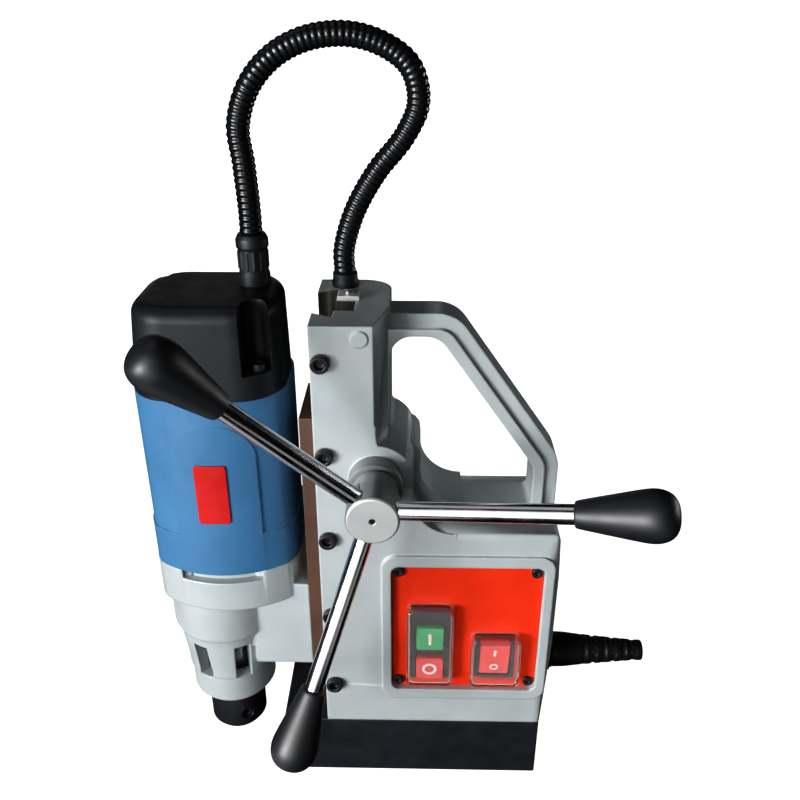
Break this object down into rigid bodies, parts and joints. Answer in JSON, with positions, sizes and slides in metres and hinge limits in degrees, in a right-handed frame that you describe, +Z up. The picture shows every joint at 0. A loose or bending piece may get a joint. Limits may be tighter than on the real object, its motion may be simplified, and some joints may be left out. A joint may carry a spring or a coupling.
{
  "type": "magnetic drill press",
  "caption": "Portable magnetic drill press: electromagnet base, cast stand with grip and controls, rack-fed slide with capstan levers, geared motor head and shank arbor.",
  "frame": {"origin": "centre of the magnet's underside", "axes": "+X along the magnet towards the cord, +Y from the control panel to the back, +Z up"},
  "size_m": [0.3095, 0.159, 0.4575],
  "materials": {
    "magnet_black": "satin black paint",
    "copper": "varnished copper",
    "potting": "cast resin",
    "cast_grey": "silver-grey paint on cast aluminium",
    "black_screw": "black oxide",
    "steel": "ground steel",
    "bright_plate": "zinc plated",
    "rod_chrome": "polished chrome",
    "hub_metal": "turned aluminium",
    "motor_blue": "moulded, fine grain",
    "black_plastic": "moulded, satin",
    "black_rubber": "moulded rubber",
    "panel_red": "orange-red paint",
    "clear_cover": "clear soft plastic",
    "green_button": "moulded",
    "red_button": "moulded",
    "rail_brown": "brown phosphate finish",
    "bronze": "machined bronze",
    "board_green": "solder mask",
    "label_red": "plain red plate",
    "core_steel": "stacked laminations",
    "carbon": "pressed carbon"
  },
  "bodies": {
    "stand": {"magnet_body": "magnet_black", "magnet_coil": "copper", "magnet_potting": "potting", "magnet_bolts": "steel", "stand_casting": "cast_grey", "control_panel": "panel_red", "panel_screws": "black_screw", "gib_strip": "bronze", "gib_screws": "black_screw", "feed_bushes": "bronze", "switch_body": "black_plastic", "switch_cover": "clear_cover", "rocker_housing": "black_plastic", "rocker_cover": "clear_cover", "control_board": "board_green", "board_screws": "steel", "top_gland": "black_plastic", "clamp_plate": "bright_plate", "clamp_screw": "steel", "cord_gland": "black_plastic", "cord_boot": "black_rubber", "flex_hose": "black_rubber"},
    "drill_head": {"slide_rail": "rail_brown", "feed_rack": "steel", "rack_screws": "black_screw", "rail_screws": "black_screw", "gearbox_housing": "cast_grey", "nose_bush": "bronze", "spindle_bearing": "steel", "gear_plate": "cast_grey", "motor_housing": "motor_blue", "motor_label": "label_red", "stator_core": "core_steel", "field_coils": "copper", "brush_holders": "bronze", "brushes": "carbon", "armature_bearings": "steel", "end_cap": "black_plastic", "cap_screws": "steel", "hose_connector": "black_plastic"},
    "feed_levers": {"feed_pinion": "steel", "feed_hub": "hub_metal", "feed_rods": "rod_chrome", "feed_knobs": "black_plastic"},
    "armature": {"armature_shaft": "steel", "armature_core": "core_steel", "commutator": "copper", "cooling_fan": "black_plastic"},
    "idler": {"idler_gear": "steel"},
    "spindle": {"spindle_gear": "steel", "spindle": "steel", "arbor": "black_screw", "arbor_screws": "steel"},
    "start_button": {"start_button": "green_button"},
    "stop_button": {"stop_button": "red_button"},
    "magnet_rocker": {"magnet_rocker": "red_button"}
  },
  "joints": [
    {"name": "drill_slide", "type": "slide", "parent": "stand", "child": "drill_head", "axis": [0, 0, 1], "range_m": [0, 0.11], "deforming": ["flex_hose"]},
    {"name": "feed_turn", "type": "hinge", "parent": "stand", "child": "feed_levers", "pos_m": [-0.0205, 0, 0.229], "axis": [0, 1, 0], "range_deg": [0, 420.37]},
    {"name": "armature_spin", "type": "hinge", "parent": "drill_head", "child": "armature", "pos_m": [-0.1125, 0, 0.2], "axis": [0, 0, 1], "continuous": true},
    {"name": "idler_spin", "type": "hinge", "parent": "drill_head", "child": "idler", "pos_m": [-0.10858, 0.01849, 0.13], "axis": [0, 0, 1], "continuous": true},
    {"name": "spindle_spin", "type": "hinge", "parent": "drill_head", "child": "spindle", "pos_m": [-0.1205, 0, 0.06], "axis": [0, 0, 1], "continuous": true},
    {"name": "start_press", "type": "slide", "parent": "stand", "child": "start_button", "axis": [0, 1, 0], "range_m": [0, 0.0025], "stiffness_N_per_m": 600, "springref_m": -0.002},
    {"name": "stop_press", "type": "slide", "parent": "stand", "child": "stop_button", "axis": [0, 1, 0], "range_m": [0, 0.0025], "stiffness_N_per_m": 600, "springref_m": -0.002},
    {"name": "rocker_tip", "type": "hinge", "parent": "stand", "child": "magnet_rocker", "pos_m": [0.051, -0.0335, 0.10075], "axis": [1, 0, 0], "range_deg": [-18, 0]}
  ],
  "couplings": [
    {"joint": "feed_turn", "follows": "drill_slide", "rad_per_m": 66.667},
    {"joint": "idler_spin", "follows": "armature_spin", "ratio": -0.28571},
    {"joint": "spindle_spin", "follows": "armature_spin", "ratio": 0.12245}
  ]
}
